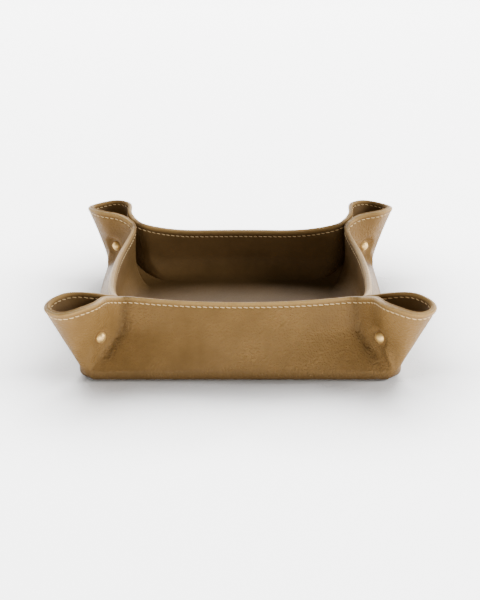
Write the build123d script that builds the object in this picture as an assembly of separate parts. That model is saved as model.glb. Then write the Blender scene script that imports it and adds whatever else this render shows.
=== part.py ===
from build123d import *
from math import cos, radians, sin, sqrt
import os

# Valet tray: one leather sheet folded up into four leaning walls, each corner pinched into an ear.
# All lengths are in millimetres. The origin is on the table under the middle of the tray,
# +Z is up, the front wall is at -Y and the right wall at +X.

# Overall sizes
base_width = 198.0            # across the outer faces, just above the bottom fold
rim_width = 162.5             # across the outer faces of two opposite walls, level with the pinches
pinch_height = 48.3           # top of the rim where two walls meet at a corner
front_rim_height = 46.0       # top of the rim in the middle of the front wall
side_rim_height = 40.2        # the same for the left and right walls
rear_rim_height = 39.2        # the same for the rear wall

# Leather and board
outer_thickness = 2.4
lining_thickness = 1.4
board_thickness = 2.0
board_clearance = 0.4         # round the edge of the board
bottom_fold_radius = 7.0      # outer face, where the base turns up into the wall
inner_fold_radius = 6.0       # the same for the lining's upper face
base_corner_radius = 8.5      # middle of the leather, seen from above

# Ears
front_ear_reach = 162.0       # from the middle of the tray to the tip, along the diagonal
rear_ear_reach = 156.5
ear_tip_height = 50.8
ear_crest_height = 54.6       # the highest point of an ear's rim
ear_half_width = 13.7         # middle of the leather, at the widest place of the loop at the crest
rivet_half_width = 4.2        # the same at the height of the rivet
ply_gap = 0.6                 # between the two linings where they are pinched together
loft_overrun = 5.0            # how far the walls are made past the crest before the rim is cut

# Walls
wall_bow = 1.5                # how far the middle of a wall stands out from its ends

# Rivets
rivet_height = 26.4
rivet_setback = 2.5           # from the pinch line out along the ear
cap_diameter = 7.2
cap_height = 2.8
cap_edge = 0.7
cap_bite = 0.3                # how far the caps press into the leather
shank_diameter = 3.0
tip_diameter = 2.3
tip_length = 1.2
fit_clearance = 0.05

overrun = 5.0                 # how far a cutting solid passes the faces that it cuts

# Angle of each ear about +Z, and its reach
corner_angles = {"rear_right": 45, "rear_left": 135, "front_left": 225, "front_right": 315}
ear_reaches = {
    "rear_right": rear_ear_reach,
    "rear_left": rear_ear_reach,
    "front_left": front_ear_reach,
    "front_right": front_ear_reach,
}
# Angle of each wall, and the height of its rim in the middle
wall_angles = {"rear": 0, "left": 90, "front": 180, "right": 270}
rim_heights = {
    "rear": rear_rim_height,
    "left": side_rim_height,
    "front": front_rim_height,
    "right": side_rim_height,
}

# Share of each wall's rim that runs level in the middle, before it curves up to the pinches
level_rim_shares = {"rear": 0.37, "left": 0.2, "front": 0.05, "right": 0.2}
# Place of the highest point of an ear's rim, from the pinch to the tip
crest_place_share = 0.54

# Shares of the height from the bottom fold to the rivet, and from the rivet to the top
lower_level_shares = (0.33, 0.66)
upper_level_shares = (0, 1)
# Turn round the bottom fold, from flat on the table at 0 to upright at 90 degrees
fold_turns = (0, 30, 60, 90)
# Place of the widest point, from the pinch to the tip, of a rounded corner and of an open loop
widest_shares = (0.74, 0.57)
# Handles of the curves of an outline, as shares of the distance between their ends
wall_handle_shares = (0.76, 0.12)
neck_handle_shares = (0.52, 0.38)
corner_handle_shares = (0.34, 0.34)
loop_handle_shares = (0.46, 0.36)

wall_thickness = outer_thickness + lining_thickness
half_wall = wall_thickness / 2
seam_offset = half_wall - outer_thickness
base_half = base_width / 2 - half_wall
rim_half = rim_width / 2 - half_wall
base_ply = base_corner_radius / sqrt(2)
pinched_ply = half_wall + ply_gap / 2
wall_lean = (base_half - rim_half) / (pinch_height - bottom_fold_radius)
base_tip = base_half * sqrt(2) - base_corner_radius * (sqrt(2) - 1)
top_height = ear_crest_height + loft_overrun
ceiling = top_height + overrun
pinch_half = rim_half - pinched_ply * sqrt(2)
board_top = outer_thickness + board_thickness
floor_height = board_top + lining_thickness


def blend(start, end, share):
    return start + (end - start) * share


def tip_lean(reach):
    """How far an ear's tip moves out for each millimetre that it rises."""
    return (reach - half_wall - base_tip) / (ear_tip_height - bottom_fold_radius)


def half_corner(height, reach):
    """Places and headings of the leather's middle at a height, from the middle of a wall to an ear's tip.

    Places are given along and across the diagonal. A heading of 0 points out along the diagonal.
    """
    rise = max(0, height - bottom_fold_radius)
    pinched = min(1, rise / (rivet_height - bottom_fold_radius))
    opened = max(0, (height - rivet_height) / (ear_crest_height - rivet_height))
    wall = base_half - wall_lean * rise
    ply = blend(base_ply, pinched_ply, 1 - (1 - pinched) ** 2)
    pinch = wall * sqrt(2) - ply
    tip = base_tip + tip_lean(reach) * rise
    widest = blend(pinch, tip, blend(*widest_shares, pinched))
    corner_half_width = base_corner_radius * sin(radians(22.5))
    half_width = blend(blend(corner_half_width, rivet_half_width, pinched), ear_half_width, opened)
    bowed = wall + wall_bow * pinched
    places = [(bowed / sqrt(2), bowed / sqrt(2)), (pinch, ply), (widest, half_width), (tip, 0)]
    headings = [-45, blend(-45, 0, pinched), blend(-67.5, 0, pinched), -90]
    loop_shares = [blend(a, b, pinched) for a, b in zip(corner_handle_shares, loop_handle_shares)]
    return places, headings, (wall_handle_shares, neck_handle_shares, loop_shares)


def half_curves(places, headings, handle_shares):
    """The control points of the curves from place to place."""
    found = []
    for index, (start_share, end_share) in enumerate(handle_shares):
        start = Vector(*places[index])
        end = Vector(*places[index + 1])
        run = (end - start).length
        leave = Vector(1, 0).rotate(Axis.Z, headings[index]) * run * start_share
        arrive = Vector(1, 0).rotate(Axis.Z, headings[index + 1]) * run * end_share
        found.append((start, start + leave, end - arrive, end))
    return found


def level_wire(height, offset):
    """Closed outline at a height, moved out from the middle of the leather by an offset."""
    edges = []
    for corner, angle in corner_angles.items():
        places, headings, handle_shares = half_corner(height, ear_reaches[corner])
        moved = []
        for (along, across), heading in zip(places, headings):
            outward = Vector(0, 1).rotate(Axis.Z, heading) * offset
            moved.append((along + outward.X, across + outward.Y))
        curves = half_curves(moved, headings, handle_shares)
        halves = [Bezier(*controls) for controls in curves]
        for controls in reversed(curves):
            halves.append(Bezier(*[(point.X, -point.Y) for point in reversed(controls)]))
        edges += [edge.rotate(Axis.Z, angle) for edge in halves]
    return Wire(edges).moved(Location((0, 0, height)))


def core(offset, floor, fold_radius):
    """Everything inside one face of the leather, from a floor with a rounded edge up past the rim."""
    wires = []
    for turn in fold_turns:
        rise = fold_radius * (1 - cos(radians(turn)))
        inset = fold_radius * (1 - sin(radians(turn)))
        wires.append(level_wire(floor + rise, offset - inset))
    for share in lower_level_shares:
        height = bottom_fold_radius + share * (rivet_height - bottom_fold_radius)
        wires.append(level_wire(height, offset))
    for share in upper_level_shares:
        wires.append(level_wire(rivet_height + share * (top_height - rivet_height), offset))
    return Solid.make_loft(wires, ruled=True)


def upright_face(edges):
    return Face(Wire(edges))


def straight_edges(*points):
    return [Line(start, end) for start, end in zip(points, points[1:])]


def wall_trim(middle_height, level_share):
    """What is cut away above a wall's rim, between its two pinches."""
    level_half = pinch_half * level_share
    bend = (pinch_half + level_half) / 2
    left = (-pinch_half, 0, pinch_height)
    right = (pinch_half, 0, pinch_height)
    level_left = (-level_half, 0, middle_height)
    level_right = (level_half, 0, middle_height)
    outline = [
        Bezier(left, (-bend, 0, middle_height), level_left),
        Line(level_left, level_right),
        Bezier(level_right, (bend, 0, middle_height), right),
    ]
    outline += straight_edges(right, (pinch_half, 0, ceiling), (-pinch_half, 0, ceiling), left)
    prism = Solid.extrude(upright_face(outline), Vector(0, base_width / 2, 0))
    return prism.moved(Location((0, rim_half / 2, 0)))


def ear_trim(reach):
    """What is cut away above an ear's rim."""
    start = (pinch_half + rim_half) / sqrt(2)
    far = reach + tip_lean(reach) * (ceiling - ear_tip_height) + overrun
    crest = blend(start, reach, crest_place_share)
    near_end = (rim_half, 0, pinch_height)
    pinch_end = (start, 0, pinch_height)
    tip_end = (reach, 0, ear_tip_height)
    far_end = (far, 0, ear_tip_height)
    outline = [Line(near_end, pinch_end)]
    outline.append(ThreePointArc(pinch_end, (crest, 0, ear_crest_height), tip_end))
    outline += straight_edges(tip_end, far_end, (far, 0, ceiling), (rim_half, 0, ceiling), near_end)
    slab = Solid.extrude(upright_face(outline), Vector(0, base_width, 0))
    slab = slab.moved(Location((0, -base_width / 2, 0))).rotate(Axis.Z, corner_angles["rear_right"])
    corner = Solid.make_box(base_width, base_width, ceiling + overrun)
    return slab & corner.moved(Location((pinch_half, pinch_half, 0)))


def rim_trims():
    """The solids that are cut from the walls and the ears to leave the rim."""
    trims = []
    for wall, angle in wall_angles.items():
        trims.append(wall_trim(rim_heights[wall], level_rim_shares[wall]).rotate(Axis.Z, angle))
    for corner, angle in corner_angles.items():
        trim = ear_trim(ear_reaches[corner])
        trims.append(trim.rotate(Axis.Z, angle - corner_angles["rear_right"]))
    return trims


def rivet_seat():
    """Along the diagonal to a rivet, and across it to the faces that its caps sit on."""
    places, _, _ = half_corner(rivet_height, front_ear_reach)
    pinch, ply = places[1]
    return pinch + rivet_setback, ply + half_wall - cap_bite


def laid_across(shape, angle):
    """A shape made along +Z, laid across the ear at an angle, at the place of its rivet."""
    along, _ = rivet_seat()
    laid = shape.rotate(Axis.X, -90).moved(Location((along, 0, rivet_height)))
    return laid.rotate(Axis.Z, angle)


def rod(diameter, start, end):
    return Solid.make_cylinder(diameter / 2, end - start).moved(Location((0, 0, start)))


def domed_head(seat):
    """A round head with a flat underside at the seat, a short edge and a domed top."""
    radius = cap_diameter / 2
    rise = cap_height - cap_edge
    dome_radius = (radius ** 2 + rise ** 2) / (2 * rise)
    shoulder = seat + cap_edge
    half_way = shoulder + sqrt(dome_radius ** 2 - (radius / 2) ** 2) - dome_radius + rise
    crown = (0, 0, seat + cap_height)
    outline = straight_edges(crown, (0, 0, seat), (radius, 0, seat), (radius, 0, shoulder))
    outline.append(ThreePointArc((radius, 0, shoulder), (radius / 2, 0, half_way), crown))
    return Solid.revolve(upright_face(outline), 360, Axis.Z)


def rivet_post(angle):
    """The half of a rivet with the shank, whose tip goes into the other half's socket."""
    _, seat = rivet_seat()
    head = domed_head(seat).rotate(Axis.X, 180)
    shank = rod(shank_diameter, -seat - cap_edge, seat)
    tip = rod(tip_diameter, seat, seat + tip_length)
    return laid_across(head + shank + tip, angle)


def rivet_cap(angle):
    _, seat = rivet_seat()
    socket = rod(tip_diameter + 2 * fit_clearance, seat, seat + tip_length + fit_clearance)
    return laid_across(domed_head(seat) - socket, angle)


def shank_holes():
    _, seat = rivet_seat()
    hole = rod(shank_diameter + 2 * fit_clearance, -seat - overrun, seat + overrun)
    return [laid_across(hole, angle) for angle in corner_angles.values()]


def cap_recesses():
    """Room for the caps where they press into the leather beside the pinch."""
    _, seat = rivet_seat()
    diameter = cap_diameter + 2 * fit_clearance
    above = rod(diameter, seat, seat + overrun)
    below = rod(diameter, -seat - overrun, -seat)
    return [laid_across(recess, angle) for angle in corner_angles.values() for recess in (above, below)]


def base_board():
    """Stiff board between the outer leather and the lining, inside the bottom fold."""
    half = base_half + seam_offset - (bottom_fold_radius - outer_thickness) - board_clearance
    corner = base_corner_radius + seam_offset - (bottom_fold_radius - outer_thickness) - board_clearance
    outline = RectangleRounded(2 * half, 2 * half, corner)
    return extrude(outline, board_thickness).moved(Location((0, 0, outer_thickness)))


trims = rim_trims()
holes = shank_holes()
outer_core = core(half_wall, 0, bottom_fold_radius)
seam_core = core(seam_offset, outer_thickness, bottom_fold_radius - outer_thickness)
lining_core = core(-half_wall, floor_height, inner_fold_radius)
below_lining = Solid.make_box(base_width, base_width, board_top)
below_lining = below_lining.moved(Location((-base_width / 2, -base_width / 2, 0)))

pieces = {}
pieces["outer_leather"] = (outer_core - seam_core).cut(*trims).cut(*holes, *cap_recesses())
pieces["lining_leather"] = (seam_core - below_lining - lining_core).cut(*trims).cut(*holes)
pieces["base_board"] = base_board()
for corner_name, corner_angle in corner_angles.items():
    pieces["rivet_post_" + corner_name] = rivet_post(corner_angle)
    pieces["rivet_cap_" + corner_name] = rivet_cap(corner_angle)

os.makedirs("parts", exist_ok=True)
for name, piece in pieces.items():
    piece.label = name
    export_step(piece, "parts/" + name + ".step")
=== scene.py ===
import math
import bmesh
import bpy
import numpy as np
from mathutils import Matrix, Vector


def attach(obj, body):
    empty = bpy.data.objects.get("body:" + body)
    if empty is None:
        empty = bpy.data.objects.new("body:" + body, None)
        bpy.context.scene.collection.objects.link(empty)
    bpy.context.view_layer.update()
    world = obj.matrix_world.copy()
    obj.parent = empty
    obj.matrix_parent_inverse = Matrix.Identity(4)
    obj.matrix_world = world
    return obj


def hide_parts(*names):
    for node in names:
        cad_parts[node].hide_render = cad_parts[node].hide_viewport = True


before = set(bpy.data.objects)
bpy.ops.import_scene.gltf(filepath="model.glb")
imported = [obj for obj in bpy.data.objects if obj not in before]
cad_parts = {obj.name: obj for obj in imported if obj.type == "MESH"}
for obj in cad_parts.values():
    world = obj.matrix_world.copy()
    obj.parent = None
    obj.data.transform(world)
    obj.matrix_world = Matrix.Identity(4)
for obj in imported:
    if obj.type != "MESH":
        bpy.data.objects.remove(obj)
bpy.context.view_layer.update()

# Lengths are in millimetres up to the meshes, which are made in metres.
MM = 0.001

# Sizes of the tray
base_width = 200.4
rim_width = 162.5
pinch_height = 48.3
front_rim_height = 46.0
side_rim_height = 38.6
rear_rim_height = 38.4
outer_thickness = 2.4
lining_thickness = 1.4
board_thickness = 2.0
bottom_fold_radius = 5.0
lean_start_height = 7.0
inner_fold_radius = 6.0
base_corner_radius = 7.5
front_ear_reach = 161.2
rear_ear_reach = 151.8
front_tip_height = 51.2
rear_tip_height = 53.0
ear_crest_height = 54.6
front_ear_half_width = 13.7
rear_ear_half_width = 15.0
rivet_half_width = 4.2
ply_gap = 0.6
front_bow = 1.6
side_bow = 1.0
rear_bow = 1.6
rivet_height = 26.4
cap_diameter = 7.2

front_level_share = 0.05
side_level_share = 0.42
rear_level_share = 0.37
crest_place_share = 0.54
widest_shares = (0.74, 0.63)
wall_handle_shares = (0.8, 0.12)
neck_handle_shares = (0.52, 0.38)
corner_handle_shares = (0.34, 0.34)
loop_handle_shares = (0.42, 0.5)
tip_follow_share = 0.6

# Headings of the leather seen from above, in degrees, where 0 points out along the diagonal
wall_heading = -45.0
loop_heading = -67.5
tip_heading = -90.0

# Clockwise from the rear right ear
ear_angles = (45, -45, -135, -225)
ear_reaches = (rear_ear_reach, front_ear_reach, front_ear_reach, rear_ear_reach)

wall_thickness = outer_thickness + lining_thickness
half_wall = wall_thickness / 2
seam_offset = half_wall - outer_thickness
base_half = base_width / 2 - half_wall
rim_half = rim_width / 2 - half_wall
base_ply = base_corner_radius / math.sqrt(2)
pinched_ply = half_wall + ply_gap / 2
wall_lean = (base_half - rim_half) / (pinch_height - lean_start_height)
base_tip = base_half * math.sqrt(2) - base_corner_radius * (math.sqrt(2) - 1)
pinch_half = rim_half - pinched_ply * math.sqrt(2)
board_top = outer_thickness + board_thickness
floor_height = board_top + lining_thickness


def along_diagonal(piece):
    """Distance of a piece's middle from the middle of the tray, along the diagonal."""
    corners = [piece.matrix_world @ Vector(corner) for corner in piece.bound_box]
    return sum(abs(corner.x) + abs(corner.y) for corner in corners) / len(corners) / math.sqrt(2) / MM


rivet_along = along_diagonal(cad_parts["rivet_cap_front_right"])

# From this height up the pinch line is nearly upright, and below it spreads to the base corner
drawn_height = 30.0
pinch_line_lean = 0.14

# Round each rivet the leather is pressed flat up to a clearance past the cap, and less out to a reach past it
press_clearance = 0.8
press_reach = 5.0
press_start = cap_diameter / 2 + press_clearance
press_end = cap_diameter / 2 + press_reach

# How the sheets are divided into faces
wall_columns = 44
neck_columns = 34
loop_columns = 22
column_count = 2 * len(ear_angles) * (wall_columns + neck_columns + loop_columns)

# How often the rim is cut and evened out, and how far apart points are that a slope is read from
rim_cuts = 8
rim_passes = 14
lean_passes = 6
probe = 1.0


def blend(start, end, share):
    return start + (end - start) * share


def eased(start, end, value):
    """0 up to the start, 1 from the end on, and a smooth rise between them."""
    share = np.clip((value - start) / (end - start), 0, 1)
    return share * share * (3 - 2 * share)


def half_corner(height, reach, bow):
    """Places and headings of the leather's middle, from the middle of a wall to an ear's tip."""
    rise = np.maximum(0, height - lean_start_height)
    pinched = np.minimum(1, rise / (rivet_height - lean_start_height))
    opened = np.maximum(0, (height - rivet_height) / (ear_crest_height - rivet_height))
    wall = base_half - wall_lean * rise
    ply = blend(base_ply, pinched_ply, 1 - (1 - pinched) ** 2)
    drawn = rim_half * math.sqrt(2) - pinched_ply + pinch_line_lean * (pinch_height - height)
    below = 1 - np.clip(rise / (drawn_height - lean_start_height), 0, 1)
    pinch = blend(drawn, base_half * math.sqrt(2) - base_ply, below ** 2 * (2 - below))
    tip_height = np.where(reach == rear_ear_reach, rear_tip_height, front_tip_height)
    tip_lean = (reach - half_wall - base_tip) / (tip_height - lean_start_height)
    tip = base_tip + tip_lean * (rise + tip_follow_share * np.minimum(0, height - lean_start_height))
    widest = blend(pinch, tip, blend(*widest_shares, pinched))
    corner_half_width = base_corner_radius * math.sin(math.radians(wall_heading - loop_heading))
    ear_half_width = np.where(reach == rear_ear_reach, rear_ear_half_width, front_ear_half_width)
    half_width = blend(blend(corner_half_width, rivet_half_width, pinched), ear_half_width, opened)
    bowed = wall + bow * pinched
    zero = np.zeros_like(rise)
    places = [
        np.stack([bowed, bowed], -1) / math.sqrt(2),
        np.stack([pinch, ply], -1),
        np.stack([widest, half_width], -1),
        np.stack([tip, zero], -1),
    ]
    headings = [
        zero + wall_heading,
        blend(wall_heading, 0, pinched),
        blend(loop_heading, 0, pinched),
        zero + tip_heading,
    ]
    loop_shares = [blend(a, b, pinched) for a, b in zip(corner_handle_shares, loop_handle_shares)]
    headings = [np.radians(heading) for heading in headings]
    return places, headings, (wall_handle_shares, neck_handle_shares, loop_shares)


class Columns:
    """Upright lines round the tray, each with its corner, side of the diagonal, curve and place on it."""

    def __init__(self):
        counts = (wall_columns, neck_columns, loop_columns)
        half = []
        for curve, count in enumerate(counts):
            half += [(curve, (index + 0.5) / count) for index in range(count)]
        rows = []
        for corner in range(len(ear_angles)):
            rows += [(corner, 1, curve, share) for curve, share in half]
            rows += [(corner, -1, curve, share) for curve, share in reversed(half)]
        table = np.array(rows, float)
        self.corner = table[:, 0]
        self.side = table[:, 1]
        self.curve = table[:, 2].astype(int)
        self.share = table[:, 3]
        self.angle = np.radians(np.array(ear_angles)[self.corner.astype(int)])
        self.reach = np.array(ear_reaches)[self.corner.astype(int)]
        self.on_side_wall = (self.corner % 2 == 0) == (self.side < 0)
        at_rear = (self.corner == 0) | (self.corner == 3)
        self.bow = np.where(self.on_side_wall, side_bow, np.where(at_rear, rear_bow, front_bow))

    def across_and_along(self, height, offset):
        """Places of all columns along and across their diagonals, and the pinch that they belong to."""
        places, headings, handle_shares = half_corner(height, self.reach, self.bow)
        moved = []
        for place, heading in zip(places, headings):
            outward = np.stack([-np.sin(heading), np.cos(heading)], -1)
            moved.append(place + outward * offset[:, None])
        u = self.share[:, None]
        flat = np.zeros((len(self.share), 2))
        for curve, (start_share, end_share) in enumerate(handle_shares):
            start, end = moved[curve], moved[curve + 1]
            run = np.linalg.norm(end - start, axis=1)
            leave = np.stack([np.cos(headings[curve]), np.sin(headings[curve])], -1)
            arrive = np.stack([np.cos(headings[curve + 1]), np.sin(headings[curve + 1])], -1)
            first = start + leave * (run * start_share)[:, None]
            second = end - arrive * (run * end_share)[:, None]
            point = (1 - u) ** 3 * start + 3 * (1 - u) ** 2 * u * first
            point = point + 3 * (1 - u) * u ** 2 * second + u ** 3 * end
            flat = np.where((self.curve == curve)[:, None], point, flat)
        return flat, places[1]

    def at(self, height, offset):
        """Points of all columns at their own heights, moved out from the middle of the leather."""
        height = np.broadcast_to(np.asarray(height, float), self.share.shape)
        offset = np.broadcast_to(np.asarray(offset, float), self.share.shape)
        flat, _ = self.across_and_along(height, offset)
        from_rivet = np.hypot(flat[:, 0] - rivet_along, height - rivet_height)
        press = 1 - eased(press_start, press_end, from_rivet)
        across = blend(flat[:, 1], np.minimum(flat[:, 1], pinched_ply + offset), press) * self.side
        x = flat[:, 0] * np.cos(self.angle) - across * np.sin(self.angle)
        y = flat[:, 0] * np.sin(self.angle) + across * np.cos(self.angle)
        return np.stack([x, y, height], -1)

    def past_pinch(self, height):
        """Distance of all columns from the pinch line, less than zero on the wall's side of it."""
        height = np.broadcast_to(np.asarray(height, float), self.share.shape)
        flat, pinch = self.across_and_along(height, np.zeros_like(height))
        return np.linalg.norm(flat - pinch, axis=1) * np.where(self.curve == 0, -1, 1)


columns = Columns()


def arc_height(distance, start, crest, end):
    """Height at a distance of the arc through three points, each a distance and a height."""
    (ax, ay), (bx, by), (cx, cy) = start, crest, end
    twice = 2 * (ax * (by - cy) + bx * (cy - ay) + cx * (ay - by))
    a2, b2, c2 = ax ** 2 + ay ** 2, bx ** 2 + by ** 2, cx ** 2 + cy ** 2
    centre_x = (a2 * (by - cy) + b2 * (cy - ay) + c2 * (ay - by)) / twice
    centre_y = (a2 * (cx - bx) + b2 * (ax - cx) + c2 * (bx - ax)) / twice
    radius = math.hypot(ax - centre_x, ay - centre_y)
    upward = 1 if by > (ay + cy) / 2 else -1
    root = np.sqrt(np.maximum(0, radius ** 2 - (distance - centre_x) ** 2))
    return centre_y + upward * root


def rim_at(points):
    """Height that the rim is cut to at each point."""
    x, y = points[:, 0], points[:, 1]
    on_side = np.abs(x) > np.abs(y)
    middle = np.where(on_side, side_rim_height, np.where(y > 0, rear_rim_height, front_rim_height))
    level = np.where(on_side, side_level_share, np.where(y > 0, rear_level_share, front_level_share))
    along_wall = np.minimum(1, np.minimum(np.abs(x), np.abs(y)) / pinch_half)
    climb = np.maximum(0, along_wall - level) / (1 - level)
    wall = middle + (pinch_height - middle) * climb ** 2
    diagonal = (np.abs(x) + np.abs(y)) / math.sqrt(2)
    start = (pinch_half + rim_half) / math.sqrt(2)
    ear = np.zeros_like(x)
    for reach, tip_height in ((front_ear_reach, front_tip_height), (rear_ear_reach, rear_tip_height)):
        arc = arc_height(
            np.clip(diagonal, start, reach),
            (start, pinch_height),
            (blend(start, reach, crest_place_share), ear_crest_height),
            (reach, tip_height),
        )
        ear = np.where(columns.reach == reach, arc, ear)
    on_ear = np.minimum(np.abs(x), np.abs(y)) > pinch_half
    return np.where(on_ear, ear, wall)


def smoothed(values, passes):
    """A closed row of values, evened out a little."""
    for _ in range(passes):
        values = (np.roll(values, 1) + 2 * values + np.roll(values, -1)) / 4
    return values


rim_height = np.full(column_count, pinch_height)
for _ in range(rim_cuts):
    rim_height = rim_at(columns.at(rim_height, 0))
rim_height = smoothed(rim_height, rim_passes)


def lean_at_rim():
    """How far the leather leans in at the rim, for each unit of height."""
    low, high = columns.at(rim_height - probe, 0), columns.at(rim_height + probe, 0)
    outward = columns.at(rim_height, probe / 2) - columns.at(rim_height, -probe / 2)
    return smoothed(-np.sum((high - low) * outward, axis=1) / (2 * probe ** 2), lean_passes)


rim_lean = lean_at_rim()
# The rim is cut square to the leather, so its outer edge is higher where the leather leans in
rim_tilt = rim_lean / (1 + rim_lean ** 2)
up_share = 1 / np.sqrt(1 + rim_lean ** 2)

# The rows of each sheet
stitch_depth = 3.6
channel_depth = 0.32
channel_half_width = 0.55
edge_puff = 0.16
near_rim = 8.0
near_rim_rows = 38
wall_rows = 44
hidden_rows = 8
fold_steps = 10
ring_shares = (0.15, 0.4, 0.65, 0.85, 0.95)
roll_steps = 5
outer_edge_radius = 0.95
inner_edge_radius = 0.7
seam_edge_radius = 0.3
groove_depth = 0.9
lining_drop = 0.12


def rim_row(offset, depth):
    """A row at an offset from the leather's middle and a depth below the rim, down the face."""
    return rim_height + offset * rim_tilt - depth * up_share, offset


def face_shape(depth):
    """How far a face stands out near the rim: a full edge above a sunken line for the stitches."""
    channel = channel_depth * math.exp(-(((depth - stitch_depth) / channel_half_width) ** 2))
    puff = edge_puff * math.sin(math.pi * min(1, depth / stitch_depth))
    return puff - channel


# Inside, the lining stands upright below the rim and meets the floor in a wide soft fold.
# In the ears it follows the leather down to the pinched part, and is closed below that.
# Each corner of the floor has a small slanting facet between two creases, up to the closed part.
floor_half = 64.5
facet_inset = 12.0
fold_climb = 14.0
facet_climb = 21.0
facet_spread = 26.0
upright_spread = 12.0
closing_rise = 9.0
crease_depth = 1.5
crease_half_width = 3.0
facet_crease_share = 0.3
lining_fold_steps = 16

rim_inside = columns.at(rim_row(-half_wall, 0)[0], -half_wall)
from_corner = np.maximum(0, -columns.past_pinch(rim_height))
on_wall = columns.curve == 0
upright_share = np.where(on_wall, eased(0, upright_spread, from_corner), 0)
fold_top = floor_height + blend(facet_climb, fold_climb, eased(0, facet_spread, from_corner))
facet_share = np.where(columns.curve == 1, 1 - columns.share / 2, 0.5 - columns.share / 2)
facet_share = np.where(on_wall, 1, facet_share)


def inside(height, offset):
    """Points on the lining's side of the tray, with the walls upright and the ears closed low down."""
    height = np.broadcast_to(np.asarray(height, float), columns.share.shape)
    points = columns.at(height, offset)
    drift = rim_inside - columns.at(height, -half_wall)
    drift[:, 2] = 0
    points = points + drift * upright_share[:, None]
    _, pinch = columns.across_and_along(height, np.zeros_like(height))
    across = columns.side * facet_share * ply_gap / 2
    closed_x = pinch[:, 0] * np.cos(columns.angle) - across * np.sin(columns.angle)
    closed_y = pinch[:, 0] * np.sin(columns.angle) + across * np.cos(columns.angle)
    closed = np.stack([closed_x, closed_y, height], -1)
    shut = np.where(on_wall, 0, 1 - eased(fold_top, fold_top + closing_rise, height))
    return blend(points, closed, shut[:, None])


def floor_outline(top):
    """The floor's edge below each point of a ring: a square with slanting corners."""
    x, y = top[:, 0], top[:, 1]
    corner_end = floor_half - facet_inset
    shrink = corner_end / np.min(np.abs(top[~on_wall, :2]))
    wall_x = np.where(columns.on_side_wall, np.sign(x) * floor_half, x * shrink)
    wall_y = np.where(columns.on_side_wall, y * shrink, np.sign(y) * floor_half)
    along = (floor_half + corner_end) / math.sqrt(2)
    across = columns.side * facet_share * facet_inset / math.sqrt(2)
    facet_x = along * np.cos(columns.angle) - across * np.sin(columns.angle)
    facet_y = along * np.sin(columns.angle) + across * np.cos(columns.angle)
    edge_x = np.where(on_wall, np.clip(wall_x, -floor_half, floor_half), facet_x)
    edge_y = np.where(on_wall, np.clip(wall_y, -floor_half, floor_half), facet_y)
    return np.stack([edge_x, edge_y, np.full(len(x), floor_height)], -1)


def lining_fold():
    """Rings from the foot of the upright lining down to the floor."""
    top = inside(fold_top, -half_wall)
    low = floor_outline(top)
    beside = np.where(on_wall, from_corner / crease_half_width, (1 - facet_share) / facet_crease_share)
    crease = crease_depth * np.exp(-(beside ** 2))
    rings = []
    for step in range(1, lining_fold_steps + 1):
        share = step / lining_fold_steps
        turn = math.radians(90) * (1 - share)
        ring = blend(low, top, math.sin(turn))
        ring[:, 2] = floor_height + (fold_top - floor_height) * (1 - math.cos(turn))
        sunk = crease * math.sin(math.pi * share)
        ring[:, :2] *= (1 + sunk / np.linalg.norm(ring[:, :2], axis=1))[:, None]
        rings.append(ring)
    return np.stack(rings)


def near_rows(offset, side, start_depth):
    """Rows down a face from its rounded edge, on its outer or its inner side."""
    rows = []
    for step in range(near_rim_rows + 1):
        depth = blend(start_depth, near_rim, step / near_rim_rows)
        height, _ = rim_row(offset, depth)
        rows.append((height, offset + side * face_shape(depth)))
    return rows


def round_rows(centre_offset, centre_depth, radius, first, last):
    """Rows over a rounded edge, at turns in degrees from the outer side."""
    rows = []
    for step in range(roll_steps + 1):
        turn = math.radians(blend(first, last, step / roll_steps))
        rows.append(rim_row(centre_offset + radius * math.cos(turn), centre_depth - radius * math.sin(turn)))
    return rows


def fold_rows(floor, fold_radius, offset):
    """Rows of the rounded edge of a floor, from flat to upright."""
    rows = []
    for step in range(fold_steps + 1):
        turn = math.radians(90) * step / fold_steps
        inset = fold_radius * (1 - math.sin(turn))
        rows.append((floor + fold_radius * (1 - math.cos(turn)), offset - inset))
    return rows


def face_rows(start, end, offset, count):
    """Rows up a face of a sheet, between heights that may differ round the rim."""
    return [(blend(start, end, step / count), offset) for step in range(1, count + 1)]


def grid_of(rows):
    return np.stack([columns.at(height, offset) for height, offset in rows])


def floor_rings(ring, outwards):
    """A ring drawn in towards the middle of the tray, row by row."""
    shares = ring_shares if outwards else tuple(reversed(ring_shares))
    rows = []
    for share in shares:
        row = ring * share
        row[:, 2] = ring[:, 2]
        rows.append(row)
    return np.stack(rows)


def smooth_faces(mesh):
    mesh.polygons.foreach_set("use_smooth", [True] * len(mesh.polygons))


def piece_mesh(name, points, faces):
    """A smooth piece from points in millimetres."""
    mesh = bpy.data.meshes.new(name)
    mesh.from_pydata([tuple(p) for p in points * MM], [], faces)
    work = bmesh.new()
    work.from_mesh(mesh)
    bmesh.ops.recalc_face_normals(work, faces=work.faces)
    work.to_mesh(mesh)
    work.free()
    smooth_faces(mesh)
    mesh.update()
    piece = bpy.data.objects.new(name, mesh)
    bpy.context.scene.collection.objects.link(piece)
    return piece


def mark_points(piece, name, values):
    """Stores a value for each point of a piece, for its material to read."""
    marks = piece.data.attributes.new(name, "FLOAT", "POINT")
    marks.data.foreach_set("value", np.asarray(values, np.float32))


# Where the leather wrinkles, on the wall's side of each pinch, which also places the painted shade in the
# creases, and how far down the rim's edge is paler, partly its own colour and partly a painted highlight
wrinkle_place = -4.5
wrinkle_half_width = 4.0
wrinkle_floor = 8.0
edge_depth = 2.6


def wrinkle_marks(grid):
    """How much the leather wrinkles at each point, which also sets how much painted shade lies in the
    creases.
    """
    marks = []
    for row in grid:
        beside = (columns.past_pinch(row[:, 2]) - wrinkle_place) / wrinkle_half_width
        marks.append(np.exp(-(beside ** 2)) * eased(wrinkle_floor, 2 * wrinkle_floor, row[:, 2]))
    return np.stack(marks)


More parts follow.
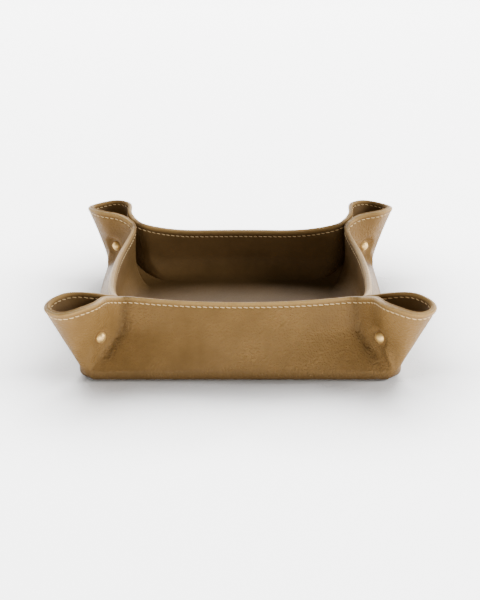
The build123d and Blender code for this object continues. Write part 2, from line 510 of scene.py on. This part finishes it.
def edge_marks(grid):
    """1 on the rim, and 0 from the edge's depth below it: where the paler edge, partly a painted highlight,
    goes.
    """
    return np.stack([1 - eased(0, edge_depth, rim_height - row[:, 2]) for row in grid])


def sheet_piece(name, grid):
    """One closed sheet from rows of points, with a middle point at each end."""
    row_count, around, _ = grid.shape
    first_middle = [0, 0, grid[0, 0, 2]]
    last_middle = [0, 0, grid[-1, 0, 2]]
    points = np.vstack([grid.reshape(-1, 3), [first_middle, last_middle]])
    faces = []
    for row in range(row_count - 1):
        low, high = row * around, (row + 1) * around
        for column in range(around):
            beside = (column + 1) % around
            faces.append((low + column, low + beside, high + beside, high + column))
    last = (row_count - 1) * around
    for column in range(around):
        beside = (column + 1) % around
        faces.append((column, beside, row_count * around))
        faces.append((last + beside, last + column, row_count * around + 1))
    piece = piece_mesh(name, points, faces)
    mark_points(piece, "wrinkles", np.append(wrinkle_marks(grid).ravel(), [0, 0]))
    mark_points(piece, "edge", np.append(edge_marks(grid).ravel(), [0, 0]))
    return piece


def outer_grid():
    """Rows of the outer sheet, from under the base up its outer face and down its hidden one."""
    outer_roll = half_wall - outer_edge_radius
    seam_roll = seam_offset + seam_edge_radius
    up = fold_rows(0, bottom_fold_radius, half_wall)
    near = near_rows(half_wall, 1, outer_edge_radius)
    up += face_rows(bottom_fold_radius, near[-1][0], half_wall, wall_rows)[:-1]
    up += list(reversed(near))
    up += round_rows(outer_roll, outer_edge_radius, outer_edge_radius, 0, 90)[1:]
    up += round_rows(seam_roll, seam_edge_radius, seam_edge_radius, 90, 180)
    groove, _ = rim_row(seam_offset, groove_depth)
    down = [(groove, seam_offset)]
    down += face_rows(groove, bottom_fold_radius, seam_offset, hidden_rows)
    inner_fold = fold_rows(outer_thickness, bottom_fold_radius - outer_thickness, seam_offset)
    down += list(reversed(inner_fold))[1:]
    grid = grid_of(up + down)
    return np.vstack([floor_rings(grid[0], True), grid, floor_rings(grid[-1], False)])


def lining_grid():
    """Rows of the lining, from its underside up its hidden face and down the seen one to the floor."""
    inner_roll = -half_wall + inner_edge_radius
    seam_roll = seam_offset - seam_edge_radius
    under_radius = inner_fold_radius + lining_thickness
    groove, _ = rim_row(seam_offset, groove_depth)
    up = fold_rows(board_top, under_radius, seam_offset)
    up += face_rows(board_top + under_radius, groove, seam_offset, hidden_rows)
    up += round_rows(seam_roll, seam_edge_radius + lining_drop, seam_edge_radius, 0, 90)
    up += round_rows(inner_roll, inner_edge_radius + lining_drop, inner_edge_radius, 90, 180)
    down = near_rows(-half_wall, -1, inner_edge_radius + lining_drop)[1:]
    down += face_rows(down[-1][0], fold_top, -half_wall, wall_rows)
    hidden = grid_of(up)
    seen = np.stack([inside(height, offset) for height, offset in down])
    fold = lining_fold()
    return np.vstack([floor_rings(hidden[0], True), hidden, seen, fold, floor_rings(fold[-1], False)])


outer = sheet_piece("outer_sheet", outer_grid())
lining = sheet_piece("lining_sheet", lining_grid())


# Sewing thread: a row of stitches outside the rim and one inside it
stitch_pitch = 3.6
stitch_length = 2.9
thread_radius = 0.27
stitch_slant = math.radians(9)
stitch_sides = 8
stitch_steps = 8
stitch_rise_share = 1.25
stitch_sink_share = 0.75
stitch_end_share = 0.55
stitch_swell_share = 0.45


def evenly_spaced(path, pitch):
    """Points, headings and outward directions at a pitch along a closed path of columns."""
    points, outward = path
    closed = np.vstack([points, points[:1]])
    steps = np.linalg.norm(np.diff(closed, axis=0), axis=1)
    distance = np.concatenate([[0], np.cumsum(steps)])
    count = int(round(distance[-1] / pitch))
    wanted = (np.arange(count) + 0.5) * distance[-1] / count
    sides = np.vstack([outward, outward[:1]])
    found = np.stack([np.interp(wanted, distance, closed[:, axis]) for axis in range(3)], -1)
    out = np.stack([np.interp(wanted, distance, sides[:, axis]) for axis in range(3)], -1)
    ahead = np.roll(found, -1, axis=0) - np.roll(found, 1, axis=0)
    ahead /= np.linalg.norm(ahead, axis=1)[:, None]
    out /= np.linalg.norm(out, axis=1)[:, None]
    return found, ahead, out


def face_path(height, offset, face_side):
    """A line round a face of the tray, with the direction that the face looks in."""
    surface = columns.at if face_side > 0 else inside
    on_face = surface(height, offset)
    above = surface(height + probe, offset)
    along = np.roll(on_face, -1, axis=0) - np.roll(on_face, 1, axis=0)
    out = np.cross(along, above - on_face)
    out /= np.linalg.norm(out, axis=1)[:, None]
    inward = on_face - surface(height, offset - probe)
    out *= np.sign(np.sum(out * inward, axis=1))[:, None] * face_side
    return on_face, out


def stitch_row(name, face_offset, face_side):
    """One row of slanting stitches round a face of the tray, each with rounded ends."""
    height, _ = rim_row(face_offset, stitch_depth)
    offset = face_offset + face_side * face_shape(stitch_depth)
    points, ahead, out = evenly_spaced(face_path(height, offset, face_side), stitch_pitch)
    vertices, faces = [], []
    for place, forward, outward in zip(points, ahead, out):
        upward = np.cross(forward, outward)
        along = forward * math.cos(stitch_slant) + upward * math.sin(stitch_slant)
        side = np.cross(along, outward)
        first = len(vertices)
        for step in range(stitch_steps + 1):
            turn = math.pi * step / stitch_steps
            reach = -math.cos(turn) * stitch_length / 2
            lift = thread_radius * (stitch_rise_share * math.sin(turn) - stitch_sink_share)
            radius = thread_radius * (stitch_end_share + stitch_swell_share * math.sin(turn))
            middle = place + along * reach + outward * lift
            for corner in range(stitch_sides):
                angle = 2 * math.pi * corner / stitch_sides
                vertices.append(middle + (side * math.cos(angle) + outward * math.sin(angle)) * radius)
        for step in range(stitch_steps):
            for corner in range(stitch_sides):
                beside = (corner + 1) % stitch_sides
                low, high = first + step * stitch_sides, first + (step + 1) * stitch_sides
                faces.append((low + corner, low + beside, high + beside, high + corner))
        end = first + stitch_steps * stitch_sides
        faces.append(tuple(first + corner for corner in range(stitch_sides)))
        faces.append(tuple(end + corner for corner in reversed(range(stitch_sides))))
    return piece_mesh(name, np.array(vertices), faces)


outer_thread = stitch_row("outer_stitches", half_wall, 1)
lining_thread = stitch_row("lining_stitches", -half_wall, -1)


class Paint:
    """A material being mixed, with its nodes and its shader."""

    def __init__(self, name):
        self.material = bpy.data.materials.new(name)
        self.material.use_nodes = True
        self.nodes = self.material.node_tree.nodes
        self.links = self.material.node_tree.links
        self.shader = self.nodes["Principled BSDF"]

    def add(self, kind, settings, feeds):
        """A node with some inputs set and others fed, both named by their sockets."""
        return self.fill(self.nodes.new(kind), settings, feeds)

    def fill(self, node, settings, feeds):
        for socket, value in settings.items():
            node.inputs[socket].default_value = value
        for socket, source in feeds.items():
            self.links.new(source, node.inputs[socket])
        return node

    def where(self):
        """The object's own coordinates."""
        return self.nodes.new("ShaderNodeTexCoord").outputs["Object"]

    def noise(self, where, settings):
        return self.add("ShaderNodeTexNoise", settings, {"Vector": where}).outputs["Fac"]

    def mark(self, name):
        """The value that each point of the piece carries under a name."""
        mark = self.nodes.new("ShaderNodeAttribute")
        mark.attribute_name = name
        return mark.outputs["Fac"]

    def ranged(self, value, settings):
        """A value brought into another range."""
        return self.add("ShaderNodeMapRange", settings, {"Value": value}).outputs["Result"]

    def toned(self, value, dark, light, start_share=0, end_share=1):
        """A colour from dark to light over a part of a value's range."""
        ramp = self.add("ShaderNodeValToRGB", {}, {"Fac": value})
        first, last = ramp.color_ramp.elements
        first.position = start_share
        first.color = (*dark, 1)
        last.position = end_share
        last.color = (*light, 1)
        return ramp.outputs["Color"]

    def tinted(self, share, colour, tint):
        """A colour that turns into a plain tint by a share."""
        mix = self.nodes.new("ShaderNodeMix")
        mix.data_type = "RGBA"
        self.fill(mix, {7: (*tint, 1)}, {0: share, 6: colour})
        return mix.outputs[2]

    def relief(self, depth, feeds, strength=1):
        """The normals of a relief whose depth is in millimetres."""
        settings = {"Distance": depth * MM, "Strength": strength}
        return self.add("ShaderNodeBump", settings, feeds).outputs["Normal"]

    def finished(self, settings, feeds):
        """The material, with its shader's inputs set and fed."""
        self.fill(self.shader, settings, feeds)
        return self.material


# Leather: reliefs in millimetres, and shares of its grain, its gloss and its tones
wrinkle_height = 2.2
# Painted shade near the base, which fades out up to this height
painted_base_shade_height = 9.0
# Share of painted shade in the wrinkles
painted_crease_shade_share = 0.5
pore_share = 0.55
pores_in_grain_share = 0.45
tone_shares = (0.32, 0.7)
gloss_below = 0.06
gloss_above = 0.08
# Each edge colour is the rim's paler edge, partly its own colour and partly a painted highlight
outer_look = {
    "dark": (0.135, 0.074, 0.022),
    "light": (0.215, 0.122, 0.04),
    "edge": (0.36, 0.22, 0.075),
    "roughness": 0.42,
    "grain_size": 1.1,
    "grain_height": 1.5,
}
lining_look = {
    "dark": (0.09, 0.05, 0.015),
    "light": (0.135, 0.076, 0.025),
    "edge": (0.27, 0.16, 0.052),
    "roughness": 0.62,
    "grain_size": 0.8,
    "grain_height": 0.25,
}


def leather_colour(paint, where, mottle, wrinkles, dark, light, edge):
    """Uneven colour, paler on the edges, partly their own colour and partly a painted highlight, with painted
    shade in the wrinkles and near the base.
    """
    tone = paint.toned(mottle, dark, light, *tone_shares)
    # Paler rim edge, partly the edge's own colour and partly a painted highlight
    paler = paint.tinted(paint.mark("edge"), tone, edge)
    # Painted shade, towards half the dark tone: darker near the base, where the floor's shadow falls, and in
    # the wrinkles
    place = paint.add("ShaderNodeSeparateXYZ", {}, {"Vector": where})
    low = paint.ranged(place.outputs["Z"], {"From Max": painted_base_shade_height * MM, "To Min": 1, "To Max": 0})
    # Painted shade in the creases beside each pinch
    crease_shade = paint.ranged(wrinkles, {"To Max": painted_crease_shade_share})
    painted_shade = paint.add("ShaderNodeMath", {}, {0: low, 1: crease_shade})
    painted_shade.operation = "MAXIMUM"
    return paint.tinted(painted_shade.outputs["Value"], paler, [part / 2 for part in dark])


def leather_relief(paint, where, mottle, pores, wrinkles, grain_size, grain_height):
    """Pebble, stronger in some patches than in others, and lines where the leather wrinkles."""
    pebble = paint.add("ShaderNodeTexVoronoi", {"Scale": 1 / (grain_size * MM)}, {"Vector": where})
    pebble.feature = "SMOOTH_F1"
    both = {2: pebble.outputs["Distance"], 3: pores}
    grain = paint.add("ShaderNodeMix", {0: pores_in_grain_share}, both)
    patches = paint.ranged(mottle, {"From Min": 0.38, "From Max": 0.62, "To Min": 0.25, "To Max": 1})
    pebbled = paint.relief(grain_height, {"Strength": patches, "Height": grain.outputs[0]})
    stretched = paint.add("ShaderNodeMapping", {"Scale": (1, 1, 0.4)}, {"Vector": where})
    lines = paint.noise(stretched.outputs["Vector"], {"Scale": 420, "Detail": 3, "Distortion": 0.6})
    return paint.relief(wrinkle_height, {"Strength": wrinkles, "Height": lines, "Normal": pebbled})


def leather_material(name, dark, light, edge, roughness, grain_size, grain_height):
    """Satin pebbled leather, uneven in colour and gloss."""
    paint = Paint(name)
    where = paint.where()
    wrinkles = paint.mark("wrinkles")
    mottle = paint.noise(where, {"Scale": 24, "Detail": 6, "Roughness": 0.62})
    pore_scale = pore_share / (grain_size * MM)
    pores = paint.noise(where, {"Scale": pore_scale, "Detail": 8, "Roughness": 0.65})
    glossiest, dullest = roughness - gloss_below, roughness + gloss_above
    gloss = {"From Min": 0.3, "From Max": 0.7, "To Min": glossiest, "To Max": dullest}
    feeds = {
        "Base Color": leather_colour(paint, where, mottle, wrinkles, dark, light, edge),
        "Roughness": paint.ranged(pores, gloss),
        "Normal": leather_relief(paint, where, mottle, pores, wrinkles, grain_size, grain_height),
    }
    return paint.finished({"Specular IOR Level": 0.1}, feeds)


# Board, rivets and thread
fibre_depth = 0.1
fibre_dark = (0.16, 0.12, 0.085)
fibre_light = (0.33, 0.27, 0.2)
brass_colour = (0.72, 0.47, 0.17, 1)
twist_depth = 0.1
thread_dark = (0.58, 0.4, 0.18)
thread_light = (0.82, 0.61, 0.32)


def board_material():
    """Grey-brown pressed fibre."""
    paint = Paint("fibreboard")
    fibres = paint.noise(paint.where(), {"Scale": 700, "Detail": 8, "Distortion": 1.2})
    feeds = {
        "Base Color": paint.toned(fibres, fibre_dark, fibre_light),
        "Normal": paint.relief(fibre_depth, {"Height": fibres}, 0.4),
    }
    return paint.finished({"Roughness": 0.85}, feeds)


def brass_material():
    """Satin brass with uneven wear."""
    paint = Paint("satin_brass")
    wear = paint.noise(paint.where(), {"Scale": 900, "Detail": 4})
    gloss = paint.ranged(wear, {"To Min": 0.38, "To Max": 0.52})
    return paint.finished({"Base Color": brass_colour, "Metallic": 0.75}, {"Roughness": gloss})


def thread_material():
    """Cream thread with a visible twist."""
    paint = Paint("cream_thread")
    settings = {"Scale": 700, "Distortion": 1.5}
    twist = paint.add("ShaderNodeTexWave", settings, {"Vector": paint.where()}).outputs["Fac"]
    feeds = {
        "Base Color": paint.toned(twist, thread_dark, thread_light),
        "Normal": paint.relief(twist_depth, {"Height": twist}, 0.5),
    }
    return paint.finished({"Roughness": 0.7}, feeds)


outer_leather = leather_material("outer_leather", **outer_look)
lining_leather = leather_material("lining_leather", **lining_look)
board = board_material()
brass = brass_material()
thread = thread_material()


def dress(piece, material):
    piece.data.materials.clear()
    piece.data.materials.append(material)
    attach(piece, "root")


dress(outer, outer_leather)
dress(lining, lining_leather)
dress(outer_thread, thread)
dress(lining_thread, thread)
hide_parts("outer_leather")
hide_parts("lining_leather")
for name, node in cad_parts.items():
    if name.startswith("rivet"):
        node.data.materials.clear()
        node.data.materials.append(brass)
        smooth_faces(node.data)
    if name == "base_board":
        node.data.materials.clear()
        node.data.materials.append(board)


# Floor, light and camera, with lengths in metres and the sensor's in millimetres
floor_half_width = 8.0
floor_near = -8.0
floor_far = 2.2
floor_back_height = 2.5
floor_bend = 0.8
floor_bend_steps = 12
floor_colour = (0.86, 0.86, 0.86, 1)
white = (1, 1, 1, 1)
# The floor's painted glow, and how near the tray it fades into a painted contact shadow
glow_reach = 0.12
glow_from_share = 0.82
glow_strength = 3.9
world_strength = 0.16
camera_place = (-0.0002, -0.8537, 0.3417)
camera_tilt = 20.87
sensor_height = 36
image_height = 600
focal_pixels = 1334
lamps = {
    "back": {"place": (0.15, 1.7, 1.6), "target": (0, 0.15, 0), "size": (1.8, 1.0), "watts": 50},
    "key": {"place": (1.3, -0.1, 0.56), "target": (0, 0, 0.02), "size": (0.6, 0.5), "watts": 21},
    "front": {"place": (0.5, -1.6, 0.11), "target": (0, 0, 0.03), "size": (1.0, 0.14), "watts": 12},
    "fill": {"place": (0.35, -1.7, 0.5), "target": (0, 0, 0.02), "size": (1.0, 0.4), "watts": 6},
}


def floor_material():
    """White ground glowing with painted light, the glow fading into a painted contact shadow where something
    stands near.
    """
    paint = Paint("pale_floor")
    contact_shadow_occlusion = paint.add("ShaderNodeAmbientOcclusion", {"Distance": glow_reach}, {})
    contact_shadow_occlusion.samples = 8
    glow = paint.ranged(contact_shadow_occlusion.outputs["AO"], {"From Min": glow_from_share, "To Max": glow_strength})
    settings = {"Base Color": floor_colour, "Roughness": 0.6, "Emission Color": white}
    return paint.finished(settings, {"Emission Strength": glow})


def pale_floor():
    """Ground that bends up into a back wall."""
    profile = [(floor_near, 0)]
    for step in range(floor_bend_steps + 1):
        turn = math.radians(90) * step / floor_bend_steps
        along = floor_far - floor_bend + floor_bend * math.sin(turn)
        profile.append((along, floor_bend - floor_bend * math.cos(turn)))
    profile.append((floor_far, floor_back_height))
    points = [(x, y, z) for y, z in profile for x in (-floor_half_width, floor_half_width)]
    faces = [(2 * i, 2 * i + 1, 2 * i + 3, 2 * i + 2) for i in range(len(profile) - 1)]
    mesh = bpy.data.meshes.new("floor")
    mesh.from_pydata(points, [], faces)
    smooth_faces(mesh)
    mesh.materials.append(floor_material())
    floor = bpy.data.objects.new("floor", mesh)
    bpy.context.scene.collection.objects.link(floor)


def soft_light(name, place, target, size, watts):
    data = bpy.data.lights.new(name, "AREA")
    data.shape = "RECTANGLE"
    data.size, data.size_y = size
    data.energy = watts
    lamp = bpy.data.objects.new(name, data)
    bpy.context.scene.collection.objects.link(lamp)
    lamp.location = place
    lamp.rotation_euler = (Vector(target) - Vector(place)).to_track_quat("-Z", "Y").to_euler()


def pale_world():
    world = bpy.data.worlds.new("studio")
    bpy.context.scene.world = world
    world.use_nodes = True
    background = world.node_tree.nodes["Background"]
    background.inputs["Color"].default_value = white
    background.inputs["Strength"].default_value = world_strength


def photo_camera():
    """Camera at the photograph's viewing angle, fitted to the tray's outline."""
    data = bpy.data.cameras.new("camera")
    data.sensor_fit = "VERTICAL"
    data.sensor_height = sensor_height
    data.lens = sensor_height * focal_pixels / image_height
    camera = bpy.data.objects.new("camera", data)
    bpy.context.scene.collection.objects.link(camera)
    camera.location = camera_place
    camera.rotation_euler = (math.radians(90 - camera_tilt), 0, 0)
    bpy.context.scene.camera = camera


pale_floor()
pale_world()
for lamp_name, lamp_settings in lamps.items():
    soft_light(lamp_name, **lamp_settings)
photo_camera()

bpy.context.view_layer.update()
